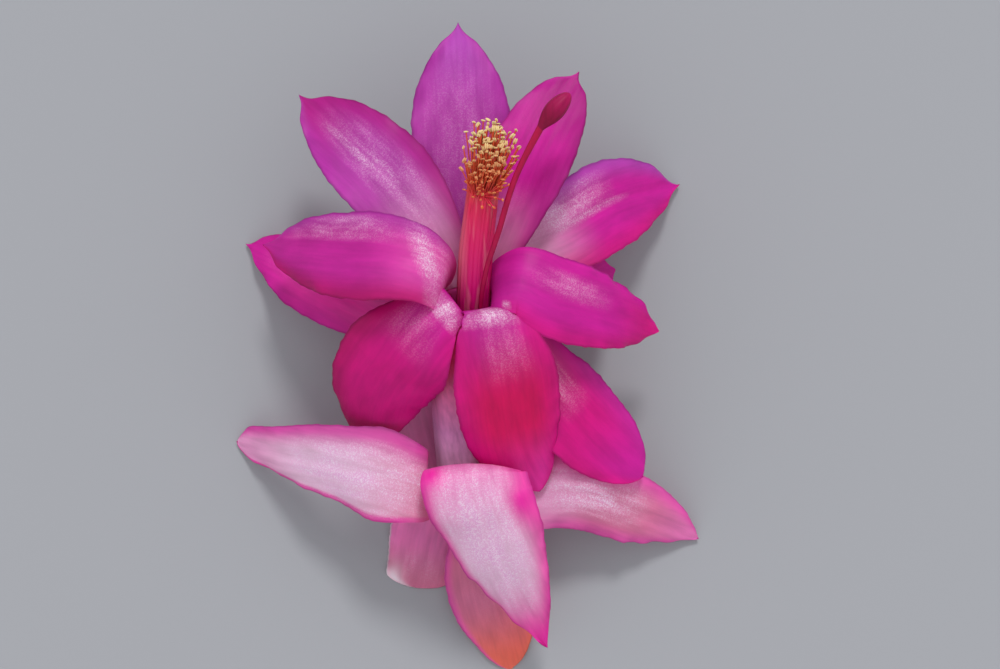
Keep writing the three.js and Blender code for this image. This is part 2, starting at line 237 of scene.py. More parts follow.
@dataclass
class Tepal:
    """A tepal, from its ring to its tip, in millimetres and degrees. Places along it are shares of its
    length from 0 to 1, and places across it run from -1 to 1. Its + side is on the left as its inner face
    is looked at with the tip up."""

    name: str
    ring: str  # where it is rooted, one of RINGS
    azimuth: float  # its place round the tube, from the front towards the right
    lean: float  # how far it leans out as it leaves the tube
    by: list  # the points that its midrib passes, the last of them its tip
    width: float
    opens: float  # how slowly it opens from the claw, as a power
    widest: float  # where along it it is widest
    facing: tuple  # the way that its inner face looks near the tip
    roll: float  # how far its edges roll towards that face
    paint: tuple  # the pigments of its root, its middle, its tip, its + edge and its other edge
    taper: float | None = None  # the power of its taper to the tip
    blunt: float | None = None  # in place of a taper, the share of its width that it keeps up to its tip
    drawn: float = 0.5  # how much the taper is drawn in short of the tip
    end: float = MUCRO  # its width at the tip
    claw: float = CLAW  # and where it leaves the tube
    launch: float = LAUNCH  # 0 where it makes straight for its points
    tilt: float = 0  # how far it tips sideways as it folds over
    turned_by: float = 0.25  # where it has turned from its root's way to its tip's
    rolled_by: float = 0.14  # where its edges, that hug the tube at its root, have their own roll
    groove: float = 0.16  # depth of the crease down its middle
    crimp: float = 0.1  # height of the crimps along its edges
    # Where the edges' pigments start, on the + side and on the other, and where they are full
    margins: tuple = (0.35, 0.35, 0.98)
    # Patches of painted glints and sheen, partly over paler tissue: each from and to along it, its slant, its
    # middle and reach across, its density
    sheen_and_pale_tissue: list = field(default_factory=list)
    # Soft patches of the + edge's pigment, real blotches and on one tepal painted sunlight: each its middle
    # along and across, its reach along and across
    blotches_and_painted_light: list = field(default_factory=list)


TEPALS = [
    Tepal(
        name="upper_tepal_back", ring="rim_outer", azimuth=180, lean=0,
        by=[(-0.4, 13.4, 16.9), (-0.6, 26.3, 16.6), (-1, 39.3, 15)],
        width=11.8, opens=1.5, widest=0.6, taper=0.95,
        facing=UP, roll=14,
        paint=("violet", "violet", "orchid", "violet", "violet"),
        sheen_and_pale_tissue=[(0.1, 0.95, 0, 0, 0.9, 0.22)],
    ),
    Tepal(
        name="upper_tepal_back_right", ring="rim_inner", azimuth=148, lean=12,
        by=[(3.5, 13.3, 19.4), (6.1, 19.5, 20.6), (9, 25.8, 20.2), (13.3, 33.2, 17.5)],
        width=9.9, opens=1.5, widest=0.6, taper=0.8, drawn=0.7, claw=5,
        facing=(-0.2, 0, 1), roll=14,
        paint=("pink", "fuchsia", "plum", "magenta", "plum"),
        sheen_and_pale_tissue=[(0.2, 0.5, 0, 0, 0.5, 0.1)],
    ),
    Tepal(
        name="upper_tepal_back_left", ring="rim_inner", azimuth=-148, lean=8,
        by=[(-3.9, 13.6, 20.3), (-8.2, 19.5, 19.7), (-13.4, 24.8, 17.1), (-20, 30.9, 12.8)],
        width=11.2, opens=1.8, widest=0.52, taper=0.85, claw=5.4,
        facing=(0.1, 0.1, 1), roll=12,
        paint=("pink", "violet", "plum", "violet", "plum"),
        sheen_and_pale_tissue=[(0.1, 0.9, 0, -0.1, 0.6, 0.45), (0.5, 0.85, 0, 0.12, 0.1, 1.2)],
    ),
    Tepal(
        name="upper_tepal_side_right", ring="rim_outer", azimuth=137, lean=18,
        by=[(6.9, 12.3, 16.6), (11.3, 14.4, 15.4), (17, 17.9, 11.3), (26.1, 21, 0.3)],
        width=11.2, opens=1.5, widest=0.48, taper=0.85,
        facing=(0.3, 0, 1), roll=12, groove=0.32,
        paint=("blush", "fuchsia", "fuchsia", "orchid", "cerise"),
        sheen_and_pale_tissue=[(-0.02, 0.62, 0, 0.42, 0.48, 1.1), (0.1, 0.7, 0, 0.05, 0.06, 1.5)],
    ),
    Tepal(
        name="upper_tepal_right", ring="rim_inner", azimuth=92, lean=45,
        by=[
            (3.4, 7.3, 21.6), (4.7, 8.2, 23.2), (6.5, 8.5, 24.3), (10.7, 6.6, 23.2), (16.7, 4.9, 18.6),
            (23, 2.8, 10),
        ],
        width=9.8, opens=1.2, widest=0.4, taper=0.7, drawn=0.2, claw=4.8, launch=0,
        facing=(0.2, 0.1, 1), roll=-16, rolled_by=0.24, crimp=0.2,
        paint=("magenta", "fuchsia", "cerise", "fuchsia", "cerise"),
        sheen_and_pale_tissue=[(0.12, 0.17, 0, -0.78, 0.15, 1.1), (0.22, 0.66, 0, 0.32, 0.36, 0.42)],
    ),
    Tepal(
        name="upper_tepal_left", ring="rim_inner", azimuth=-98, lean=40,
        by=[
            (-2.7, 7.8, 22), (-2.9, 9.1, 24.7), (-5.0, 10.4, 26.5), (-8.6, 11.2, 26.1),
            (-15.2, 11.8, 21.4), (-24.3, 13.1, 11),
        ],
        width=10.6, opens=1.2, widest=0.5, taper=0.75, claw=6, launch=0,
        facing=(-0.1, 0.1, 1), roll=-16, tilt=12, rolled_by=0.2,
        paint=("rose", "magenta", "magenta", "wine", "violet"),
        sheen_and_pale_tissue=[
            (0.17, 0.29, -0.09, 0, 1.05, 1.3), (0.02, 0.24, -0.09, 0, 1.05, 0.5),
            (0.3, 0.9, 0, -0.6, 0.35, 0.6),
        ],
    ),
    Tepal(
        name="upper_tepal_front_left", ring="rim_inner", azimuth=-40, lean=60,
        by=[
            (-1.6, 5.9, 23.2), (-1.7, 6.0, 24.3), (-3.5, 4.8, 24.7), (-6.8, 1, 22.7), (-10.7, -4.3, 17),
            (-12.7, -10.9, 8.8),
        ],
        width=13.3, opens=1.6, widest=0.46, taper=0.62, drawn=0, claw=4.2, launch=0,
        facing=(-0.2, -0.2, 1), roll=-24, tilt=20,
        paint=("fuchsia", "cerise", "wine", "cerise", "wine"),
        sheen_and_pale_tissue=[(0.08, 0.18, 0, 0.1, 0.95, 1.4), (0.1, 0.4, 0, -0.1, 0.7, 0.25)],
    ),
    Tepal(
        name="upper_tepal_front_right", ring="rim_inner", azimuth=20, lean=60,
        by=[
            (2.2, 5.0, 24.1), (2.9, 4.4, 25.4), (3.7, 1.2, 25.1), (4.9, -3.5, 22.9), (6.1, -10.6, 17.6),
            (8.6, -16.4, 12.5),
        ],
        width=12.9, opens=1.1, widest=0.48, taper=0.6, drawn=0, claw=4.4, launch=0,
        facing=(0.1, -0.2, 1), roll=-24, tilt=3, rolled_by=0.1,
        paint=("magenta", "crimson", "peony", "cerise", "cerise"),
        sheen_and_pale_tissue=[(0.05, 0.17, 0.02, -0.1, 0.9, 1.4), (0.08, 0.42, 0, 0.1, 0.6, 0.24)],
    ),
    Tepal(
        name="middle_tepal_left", ring="shoulder", azimuth=-112, lean=25,
        by=[(-9.8, 5, 13), (-18.1, 9, 8.6), (-27.6, 13.6, 0.3)],
        width=9.6, opens=1.5, widest=0.5, taper=0.85,
        facing=(-0.3, 0, 1), roll=12,
        paint=("rose", "peony", "fuchsia", "fuchsia", "fuchsia"),
        sheen_and_pale_tissue=[(0.5, 0.9, 0, 0, 0.5, 0.1)],
    ),
    # Its pinks are painted paler than its own colour: painted light for what passes to it through the tepal
    # over it
    Tepal(
        name="middle_tepal_front_left", ring="shoulder", azimuth=-72, lean=80,
        by=[(-8.4, -1.5, 15), (-7, -7.5, 9), (-5, -15.4, 6.8)],
        width=8, opens=1.5, widest=0.6, taper=0.45,
        facing=DOWN, roll=8,
        paint=("pink", "pink", "pink", "candy", "pink"),
    ),
    Tepal(
        name="middle_tepal_right", ring="shoulder", azimuth=110, lean=30,
        by=[(9.4, 5.2, 13.2), (13.7, 7.7, 10.5), (18, 10.2, 6)],
        width=8.6, opens=1.5, widest=0.55, taper=0.6,
        facing=(0.3, 0, 1), roll=10,
        paint=("magenta", "fuchsia", "fuchsia", "fuchsia", "magenta"),
    ),
    Tepal(
        name="middle_tepal_front_right", ring="shoulder", azimuth=55, lean=30,
        by=[(6.5, 1.7, 18.6), (10.2, -3.5, 16.4), (15.0, -9.1, 13), (21.2, -14.8, 9.8)],
        width=10.7, opens=1.5, widest=0.6, taper=0.55, drawn=0,
        facing=(-0.4, 0.1, -1), roll=12,
        paint=("rose", "cerise", "fuchsia", "cerise", "magenta"),
        sheen_and_pale_tissue=[(0.1, 0.6, 0, -0.1, 0.45, 0.55)],
    ),
    Tepal(
        name="lower_tepal_left", ring="foot", azimuth=-80, lean=45,
        by=[(-5.2, -15.9, 15.1), (-15.6, -13.3, 12.1), (-22.3, -12.2, 7), (-28.6, -10.9, 0.3)],
        width=11.4, opens=1.8, widest=0.36, blunt=0.32, end=0.5, claw=5.5,
        facing=(0, -0.2, 1), roll=-16, tilt=12,
        paint=("dusky", "blush", "pink", "peony", "fuchsia"),
        sheen_and_pale_tissue=[(0.08, 0.8, 0, 0.12, 0.85, 2)],
        margins=(0.8, 0.15, 0.9),
    ),
    Tepal(
        name="lower_tepal_front", ring="foot", azimuth=0, lean=20,
        by=[
            (0.8, -15.4, 15.4), (0.8, -13.2, 17.4), (1.0, -14.0, 19.2), (1.7, -17.5, 19),
            (3.1, -21, 16.9), (4.4, -24.6, 14.6), (9.8, -36, 5.2),
        ],
        width=13.1, opens=1.3, widest=0.25, taper=0.95, drawn=0.2, launch=0,
        facing=(-0.1, -0.3, 1), roll=-24, tilt=-9, turned_by=0.45, rolled_by=0.22, crimp=0.25,
        paint=("rose", "blush", "peony", "peony", "peony"),
        sheen_and_pale_tissue=[(0.12, 0.85, 0, -0.1, 0.85, 2.6)],
        margins=(0.38, 0.72, 0.98), blotches_and_painted_light=[(0.38, 0.72, 0.09, 0.32), (0.21, -0.8, 0.045, 0.25)],
    ),
    Tepal(
        name="lower_tepal_right", ring="foot", azimuth=80, lean=45,
        by=[(7.3, -16.4, 11), (14.2, -17, 10.2), (21.1, -19.6, 6.4), (28.6, -22.9, 0.3)],
        width=9.8, opens=1.2, widest=0.38, taper=0.75, drawn=0.1, claw=8,
        facing=(0, -0.2, 1), roll=-14, crimp=0.2,
        paint=("pink", "dusky", "candy", "rose", "rose"),
        sheen_and_pale_tissue=[(0.05, 0.7, 0, 0.1, 0.7, 1.5)],
        margins=(0.35, 0.45, 0.96), blotches_and_painted_light=[(0.38, 0.62, 0.12, 0.25)],
    ),
    # Its pale tip is painted sunlight: a patch lit outside the shadow of the tepals over it
    Tepal(
        name="lower_tepal_back_left", ring="foot", azimuth=-120, lean=100,
        by=[(-4.6, -19.4, 2.1), (-5.6, -24.2, 0.6), (-6.5, -29.3, 0.3)],
        width=9, opens=1.5, widest=0.6, blunt=0.85, end=1.4,
        facing=DOWN, roll=4,
        paint=("candy", "candy", "dusky", "painted_sunlight", "dusky"),
        sheen_and_pale_tissue=[(0.7, 1, 0, 0, 0.9, 0.3)],
        margins=(0.95, 0.95, 1), blotches_and_painted_light=[(0.96, 0.8, 0.1, 0.3)],
    ),
    # Its coral tip and edge are painted glow of the light that passes to it through the tepals over it
    Tepal(
        name="lower_tepal_back", ring="foot", azimuth=180, lean=120,
        by=[(2, -22.5, 3.3), (2.6, -28.8, 2.6), (4.2, -34.5, 1.4), (5.4, -39.4, 0.3)],
        width=10.6, opens=2, widest=0.55, taper=0.62, drawn=0,
        facing=DOWN, roll=6,
        paint=("magenta", "dusky", "coral", "rose", "coral"),
        sheen_and_pale_tissue=[(0.2, 0.9, 0, 0, 0.8, 0.1)],
        margins=(0.75, 0.7, 1),
    ),
]

# A blade's mesh
ROWS = 132
COLUMNS = 40
CROWDING = 0.6  # how much closer its rows are at both ends

# A blade's relief, in millimetres
WAVE = 0.3
GROOVE_WIDTH = 0.5
VEIN_HEIGHT = 0.03
VEIN_SPACING = 1.15

# Stretches along a blade, as shares of its length
FOLD = (0, 0.5)  # where it tips sideways
CREASED = (0.15, 0.35)
CREASE_ENDS = (0.8, 0.97)
VEINED = (0.1, 0.3)
FRAYED = (0.2, 0.4)
THINNER = (0.8, 1)
LAST_POINT = (0.985, 1)
BLUNT_END = 0.92  # where a blunt tip starts to round off
NECK = (0.8, 0.97)  # where the taper is drawn in, as shares of the way from the widest place to the tip

THINNED = 0.5  # how much thinner it is at the tip
POINTED = 0.8  # how much narrower its very end is than its end's width, as a share
FLATTEST = 1e-3  # the least roll of the edges, in radians, so that the roll has a radius
WANDER = 0.008  # of the very edge, as a share of half the width
NOTCH = 0.006
VEIN_DRIFT = 0.6  # how far the veins sway, in radians of their spacing
PATTERN_SHIFT = 40  # moves the streaks and patches from tepal to tepal, in millimetres

# How the pigments meet: stretches along a blade and across it, and strengths
ROOT_TO_MIDDLE = (0.08, 0.5)
MIDDLE_TO_TIP = (0.6, 0.97)
EDGES_START = (0.05, 0.25)
EDGES_SHOW = 0.85
LINE_ACROSS = (0.93, 0.99)  # a dark fine line down the very edge
LINE_STARTS = (0.15, 0.3)
LINE_SHADE = 0.5
LINE_SHOWS = 0.6


def tube_frame(along):
    """The tube's middle at a share of its length, its axis there, and the directions across it."""
    centre, axis = (values[0] for values in TUBE.at([along]))
    front, right = across_line(axis)
    return centre, axis, front, right


def outward(front, right, azimuth):
    turn = math.radians(azimuth)
    return front * math.cos(turn) + right * math.sin(turn)


def midrib(tepal):
    """The line down a tepal's middle, the directions across it at its root and at its tip, and the radius
    of the round that its root hugs."""
    ring = RINGS[tepal.ring]
    centre, axis, front, right = tube_frame(ring["along"])
    out = outward(front, right, tepal.azimuth)
    lean = math.radians(tepal.lean)
    root = centre + out * ring["radius"]
    first = root + (axis * math.cos(lean) + out * math.sin(lean)) * tepal.launch
    start = [root, first] if tepal.launch else [root]
    line = Line(catmull_rom, [*start, *tepal.by])
    root_side = outward(front, right, tepal.azimuth + 90)
    tip_side = unit(np.cross(tepal.facing, line.tangents[-1]))
    return line, root_side, tip_side, ring["radius"] / math.cos(lean)


def carried(side, tangents):
    """A direction across a line, carried along it without any twist."""
    side = unit(side - (side @ tangents[0]) * tangents[0])
    sides = [side]
    for before, after in zip(tangents[:-1], tangents[1:]):
        axis = np.cross(before, after)
        side = side + np.cross(axis, side) + axis * (axis @ side) / (1 + before @ after)
        side = unit(side - (side @ after) * after)
        sides.append(side)
    return np.array(sides)


def ribbon(tangents, along, root_side, tip_side, turned_by):
    """The direction across a tepal at each place: its root's own way first, and its tip's way further on."""
    side = carried(root_side, tangents)
    face = np.cross(tangents, side)
    wanted = tip_side - (tangents @ tip_side)[:, None] * tangents
    twist = np.unwrap(np.arctan2((wanted * face).sum(1), (wanted * side).sum(1)))
    twist -= 2 * math.pi * np.round(np.interp(turned_by, along, twist) / (2 * math.pi))
    whole = np.interp(turned_by, along, twist)
    twist = np.where(along < turned_by, whole * smoothstep(along, 0, turned_by), twist)[:, None]
    return side * np.cos(twist) + face * np.sin(twist)


def half_width(tepal, along):
    """Half a tepal's width: a claw that opens into a blade, and a taper or a blunt end."""
    opened = np.sin(np.pi / 2 * np.minimum(1, along / tepal.widest))
    past = np.maximum(0, along - tepal.widest) / (1 - tepal.widest)
    blade = mix(tepal.claw, tepal.width, opened ** tepal.opens)
    if tepal.blunt is None:
        tapered = (1 - past * past) ** tepal.taper
        tapered = tapered * (1 - tepal.drawn * smoothstep(past, *NECK))
    else:
        rounded = np.sqrt(1 - np.maximum(0, (along - BLUNT_END) / (1 - BLUNT_END)) ** 2)
        tapered = mix(1, tepal.blunt, past) * rounded
    end = tepal.end * (1 - POINTED * smoothstep(along, *LAST_POINT))
    return np.maximum(end, blade * tapered) / 2


def rippled(v, a, seed, height, along, across, rise, start):
    """Waves over a blade: their radians along it and across it, the power by which they rise towards its
    edges, and the stretch over which they start."""
    return height * np.sin(v * along + a * across + seed) * np.abs(a) ** rise * smoothstep(v, *start)


def frayed(v, a, seed):
    """How much wider or narrower a blade is at each place: its very edge wanders and is finely notched."""
    wander = WANDER * np.sin(v * 43 + 3 * np.sin(v * 11) + a + seed)
    notches = NOTCH * np.sin(v * 139 + a * 3 + 2 * seed)
    return 1 + (wander + notches) * a ** 8 * smoothstep(v, *FRAYED)


def tepal_grid(tepal):
    """The middle surface of a tepal, its normals and half-thickness, and the places along and across it."""
    line, root_side, tip_side, hug = midrib(tepal)
    even = np.linspace(0, 1, ROWS + 1)
    along = (1 - np.cos(np.pi * even)) / 2 * CROWDING + even * (1 - CROWDING)
    across = np.sin(np.pi / 2 * np.linspace(-1, 1, COLUMNS + 1))
    centre, tangent = line.along(along)
    side = ribbon(tangent, along, root_side, tip_side, tepal.turned_by)
    tilt = (math.radians(tepal.tilt) * bump(along, *FOLD))[:, None]
    side = side * np.cos(tilt) + np.cross(tangent, side) * np.sin(tilt)
    face = np.cross(tangent, side)
    half = half_width(tepal, along)
    bend = mix(half / hug, math.radians(tepal.roll), smoothstep(along, 0, tepal.rolled_by))
    bend = np.where(np.abs(bend) < FLATTEST, FLATTEST, bend)
    v, a = along[:, None], across[None, :]
    angle = bend[:, None] * a
    seed = tepal.azimuth
    wave = rippled(v, a, seed, height=WAVE, along=17, across=1.7, rise=3, start=(0.25, 0.5))
    crimps = rippled(v, a, seed, height=tepal.crimp, along=51, across=4, rise=5, start=(0.3, 0.6))
    uneven = frayed(v, a, seed)
    offset = a * half[:, None] * uneven
    groove = -tepal.groove * np.exp(-(offset / GROOVE_WIDTH) ** 2)
    groove = groove * smoothstep(v, *CREASED) * (1 - smoothstep(v, *CREASE_ENDS))
    drift = VEIN_DRIFT * np.sin(v * 9 + seed)
    veins = VEIN_HEIGHT * np.cos(offset * 2 * np.pi / VEIN_SPACING + drift) * (1 - np.abs(a) ** 2)
    radius = (half / bend)[:, None]
    lift = radius * (1 - np.cos(angle)) + wave + crimps + groove + veins * smoothstep(v, *VEINED)
    reach = radius * np.sin(angle) * uneven
    point = centre[:, None] + side[:, None] * reach[..., None] + face[:, None] * lift[..., None]
    normal = face[:, None] * np.cos(angle)[..., None] - side[:, None] * np.sin(angle)[..., None]
    fullness = (1 - a ** 4) * (1 - THINNED * smoothstep(v, *THINNER))
    thick = mix(MARGIN, BLADE, fullness) / 2
    return point, normal, thick, v + 0 * a, a + 0 * v, offset, line.length


def painted(tepal, v, a):
    """The pigment over a tepal, as linear colour, and the density of the painted glints and sheen over it."""
    root, middle, tip, edge, other = (pigment(name) for name in tepal.paint)
    v, a = v[..., None], a[..., None]
    colour = mix(root, middle, smoothstep(v, *ROOT_TO_MIDDLE))
    colour = mix(colour, tip, smoothstep(v, *MIDDLE_TO_TIP))
    rim = np.where(a > 0, edge, other)
    inner, other_inner, outer = tepal.margins
    inner = np.where(a > 0, inner, other_inner)
    colour = mix(colour, rim, smoothstep(np.abs(a), inner, outer) * smoothstep(v, *EDGES_START) * EDGES_SHOW)
    line = smoothstep(np.abs(a), *LINE_ACROSS) * smoothstep(v, *LINE_STARTS) * LINE_SHOWS
    colour = mix(colour, LINE_SHADE * rim, line)
    sheen_and_pale_tissue = 0 * v
    for low, high, slant, centre, reach, density in tepal.sheen_and_pale_tissue:
        lengthwise = bump(v - slant * a, low, high)
        crosswise = np.clip(1 - np.abs((a - centre) / reach) ** 2, 0, 1)
        sheen_and_pale_tissue = np.maximum(sheen_and_pale_tissue, density * lengthwise * crosswise)
    for place, aside, length, reach in tepal.blotches_and_painted_light:
        near = np.exp(-((v - place) / length) ** 2 - ((a - aside) / reach) ** 2)
        colour = mix(colour, edge, near)
        sheen_and_pale_tissue = sheen_and_pale_tissue * (1 - near)
    return colour, sheen_and_pale_tissue[..., 0]


def in_scene(name, data):
    """A new object in the scene, for a mesh, a curve, a light or a camera."""
    thing = bpy.data.objects.new(name, data)
    bpy.context.scene.collection.objects.link(thing)
    return thing


def mesh_object(name, points, faces, material):
    """A mesh in metres from points in millimetres, smooth, in one material."""
    mesh = bpy.data.meshes.new(name)
    mesh.from_pydata((points * MM).tolist(), [], faces)
    mesh.validate()
    mesh.shade_smooth()
    mesh.materials.append(material)
    return in_scene(name, mesh)


def store(piece, name, kind, values):
    """A value for each point of a piece, for its material to read."""
    attribute = piece.data.attributes.new(name, kind, "POINT")
    key = {"FLOAT": "value", "FLOAT_VECTOR": "vector", "FLOAT_COLOR": "color"}[kind]
    attribute.data.foreach_set(key, np.asarray(values, np.float32).ravel())


def blade_faces(rows, columns):
    """Quads of a closed blade: its upper face, its lower face and the strip round its rim."""
    row = columns + 1
    under = (rows + 1) * row
    faces = []
    for j in range(rows):
        low, high = j * row, (j + 1) * row
        for i in range(columns):
            faces.append((low + i, high + i, high + i + 1, low + i + 1))
            faces.append((under + low + i, under + low + i + 1, under + high + i + 1, under + high + i))
        faces.append((low, under + low, under + high, high))
        faces.append((low + columns, high + columns, under + high + columns, under + low + columns))
    last = rows * row
    for i in range(columns):
        faces.append((i, i + 1, under + i + 1, under + i))
        faces.append((last + i, under + last + i, under + last + i + 1, last + i + 1))
    return faces


def make_tepal(tepal, material):
    """A tepal as a closed blade that thins to its margins and lies on the floor where it reaches it."""
    point, normal, thick, v, a, offset, length = tepal_grid(tepal)
    upper = point + normal * thick[..., None]
    lower = point - normal * thick[..., None]
    upper[..., 2] = np.maximum(upper[..., 2], PRESSED)
    lower[..., 2] = np.maximum(lower[..., 2], 0)
    points = np.concatenate([upper.reshape(-1, 3), lower.reshape(-1, 3)])
    points = np.clip(points, LOW, HIGH)
    piece = mesh_object(tepal.name + "_skin", points, blade_faces(ROWS, COLUMNS), material)
    colour, sheen_and_pale_tissue = painted(tepal, v, a)
    colour = np.concatenate([colour, np.ones_like(v)[..., None]], axis=-1)
    shift = PATTERN_SHIFT * math.sin(tepal.azimuth)
    blade = np.stack([offset + shift, v * length, 0 * v], axis=-1)
    store(piece, "pigment", "FLOAT_COLOR", [colour, colour])
    store(piece, "sheen_and_pale_tissue", "FLOAT", [sheen_and_pale_tissue, sheen_and_pale_tissue])
    store(piece, "blade", "FLOAT_VECTOR", [blade, blade])
    return piece


def turned_points(line, radius, share, sides, fluting):
    """Rings of points round a line, one for each radius and share of the line's parameter."""
    centre, tangent = line.at(share)
    up, right = across_line(tangent)
    angle = np.linspace(0, 2 * np.pi, sides, endpoint=False)
    grown = radius[:, None] * fluting(angle[None, :], share[:, None])
    up, right = (d[:, None] * grown[..., None] for d in (up, right))
    return centre[:, None] + up * np.cos(angle)[None, :, None] + right * np.sin(angle)[None, :, None]


def plain(angle, share):
    """No fluting: the same radius all the way round."""
    return 1 + 0 * angle * share


def ribbed(count, height, turn=0):
    """A fluting of low ribs that fade towards both ends. Their height is a share of the radius."""
    def ribs(angle, share):
        return 1 + height * np.cos(count * angle + turn) * np.sin(np.pi * np.clip(share, 0, 1))

    return ribs


def round_piece(name, line, profile, sides, material, fluting=plain):
    """A closed round piece along a line. The profile gives radius and share from one end to the other."""
    radius, share = (np.array(values, float) for values in zip(*profile))
    rings = turned_points(line, radius, share, sides, fluting)
    ends = line.at([share[0], share[-1]])[0]
    points = np.concatenate([rings.reshape(-1, 3), ends])
    faces = []
    for j in range(len(profile) - 1):
        for i in range(sides):
            k = (i + 1) % sides
            faces.append((j * sides + i, j * sides + k, (j + 1) * sides + k, (j + 1) * sides + i))
    first, last = len(points) - 2, len(points) - 1
    top = (len(profile) - 1) * sides
    for i in range(sides):
        k = (i + 1) % sides
        faces.append((first, k, i))
        faces.append((last, top + i, top + k))
    piece = mesh_object(name, points, faces, material)
    closed = bmesh.new()
    closed.from_mesh(piece.data)
    bmesh.ops.recalc_face_normals(closed, faces=closed.faces)
    closed.to_mesh(piece.data)
    closed.free()
    place = np.concatenate([np.repeat(share, sides), share[[0, -1]]])
    store(piece, "along", "FLOAT", place)
    return piece


MATH = "ShaderNodeMath"
VECTOR_MATH = "ShaderNodeVectorMath"
MAP_RANGE = "ShaderNodeMapRange"
COLOUR_MIX = "ShaderNodeMix"
RANDOM = "FunctionNodeRandomValue"


def add(tree, kind, inputs=None, **settings):
    """Adds a node with its settings. An input is a value, or the node or output that it is linked to."""
    node = tree.nodes.new(kind)
    for key, value in settings.items():
        setattr(node, key, value)
    for key, value in (inputs or {}).items():
        if isinstance(value, bpy.types.Node):
            value = value.outputs[0]
        if isinstance(value, bpy.types.NodeSocket):
            tree.links.new(value, node.inputs[key])
        else:
            node.inputs[key].default_value = value
    return node


def new_material(name):
    material = bpy.data.materials.new(name)
    material.use_nodes = True
    material.node_tree.nodes.clear()
    return material, material.node_tree


def rgba(code):
    return (*linear(code), 1)


def per_mm(size):
    """The scale of a pattern whose features are that many millimetres, on coordinates in millimetres."""
    return 1 / size


def drawn_out_noise(tree, place, sizes, detail, millimetre=1):
    """Noise whose features have the given sizes in millimetres along the three axes of a place. A
    millimetre is 1 on a blade's own coordinates, and MM on an object's."""
    scale = [per_mm(size) / millimetre for size in sizes]
    stretched = add(tree, "ShaderNodeMapping", {"Vector": place, "Scale": scale})
    noise = add(tree, "ShaderNodeTexNoise", {"Vector": stretched, "Scale": 1, "Detail": detail})
    return noise.outputs["Fac"]


def finish_tissue(material, colour, through, gloss):
    """Gives living tissue its surface, and the share of the light that scatters through to the far side."""
    tree = material.node_tree
    surface = add(tree, "ShaderNodeBsdfPrincipled", {"Base Color": colour, **gloss})
    scattered = add(tree, "ShaderNodeBsdfTranslucent", {"Color": colour})
    both = add(tree, "ShaderNodeMixShader", {0: through, 1: surface, 2: scattered})
    add(tree, "ShaderNodeOutputMaterial", {"Surface": both})
    return material


# Sizes in living petal tissue, in millimetres: across a blade, along it, and through it
STREAKS = (0.45, 8, 1)
PATCHES = (1.6, 5, 1)
CELL = 0.1  # real ones are half of it, and wouldn't show
CELL_RELIEF = 0.05

PALE_VEIL_AND_SHEEN = "f0bce4"  # painted sheen of many cells over the sap, and paler tissue where it lies
PAINTED_GLINT = "fbe6f6"  # a painted glint of a single cell
VEIL_STRENGTH = 0.5
THROUGH_TEPAL = 0.4


def tepal_epidermis(name, roughness):
    """Living petal tissue: one layer of swollen water-filled cells over coloured sap. The sap gives the
    colour, the long cells faint streaks, and the cells' round tops a satin gloss with fine glitter from their
    relief. Painted glints of single cells and a painted pale sheen, partly paler tissue, lie in the colour
    over some patches. Light passes through, so a share of it scatters to the far side."""
    material, tree = new_material(name)
    sap = add(tree, "ShaderNodeAttribute", attribute_name="pigment").outputs["Color"]
    sheen_and_pale_tissue = add(tree, "ShaderNodeAttribute", attribute_name="sheen_and_pale_tissue").outputs["Fac"]
    blade = add(tree, "ShaderNodeAttribute", attribute_name="blade").outputs["Vector"]
    streaks = drawn_out_noise(tree, blade, STREAKS, detail=3)
    patches = drawn_out_noise(tree, blade, PATCHES, detail=3)
    tone = add(tree, MAP_RANGE, {
        "Value": streaks, "From Min": 0.3, "From Max": 0.7, "To Min": 0.95, "To Max": 1.05,
    })
    depth = add(tree, MAP_RANGE, {
        "Value": patches, "From Min": 0.3, "From Max": 0.7, "To Min": 0.9, "To Max": 1.1,
    })
    value = add(tree, MATH, {0: tone, 1: depth}, operation="MULTIPLY")
    toned = add(tree, "ShaderNodeHueSaturation", {"Color": sap, "Value": value})

    # Where it is silvery, a share of the cells has a painted glint, and a pale veil of painted sheen, partly
    # paler tissue, lies over the sap
    cells = add(tree, "ShaderNodeTexVoronoi", {"Vector": blade, "Scale": per_mm(CELL)})
    chance = add(tree, "ShaderNodeSeparateColor", {"Color": cells.outputs["Color"]})
    cloud = add(tree, MAP_RANGE, {
        "Value": patches, "From Min": 0.38, "From Max": 0.62, "To Min": 0.3, "To Max": 1,
    })
    veins = add(tree, MAP_RANGE, {
        "Value": streaks, "From Min": 0.36, "From Max": 0.64, "To Min": 0.65, "To Max": 1.2,
    })
    streaked = add(tree, MATH, {0: cloud, 1: veins}, operation="MULTIPLY")
    drift = add(tree, MATH, {0: streaked, 1: sheen_and_pale_tissue}, operation="MULTIPLY")
    glint = add(tree, MAP_RANGE, {
        "Value": chance, "From Min": 0.45, "From Max": 1, "To Min": 0, "To Max": 1.1,
    })
    spark = add(tree, MATH, {0: glint, 1: drift}, operation="MULTIPLY", use_clamp=True)
    veil = add(tree, MATH, {0: drift, 1: VEIL_STRENGTH}, operation="MULTIPLY", use_clamp=True)
    veiled = add(tree, COLOUR_MIX, {0: veil, 6: toned, 7: rgba(PALE_VEIL_AND_SHEEN)}, data_type="RGBA").outputs[2]
    base = add(tree, COLOUR_MIX, {0: spark, 6: veiled, 7: rgba(PAINTED_GLINT)}, data_type="RGBA").outputs[2]

    relief = add(tree, MATH, {0: cells.outputs["Distance"], 1: streaks}, operation="ADD")
    raised = add(tree, "ShaderNodeBump", {"Strength": 0.3, "Distance": CELL_RELIEF * MM, "Height": relief})
    return finish_tissue(material, base, THROUGH_TEPAL, {
        "Roughness": roughness, "IOR": 1.4, "Specular IOR Level": 0.35, "Normal": raised,
    })


SKIN_STREAKS = (0.6, 4.5, 0.6)  # the streaks of smooth plant skin, in millimetres
SKIN_RELIEF = 0.05  # and their height
THROUGH_SKIN = 0.2


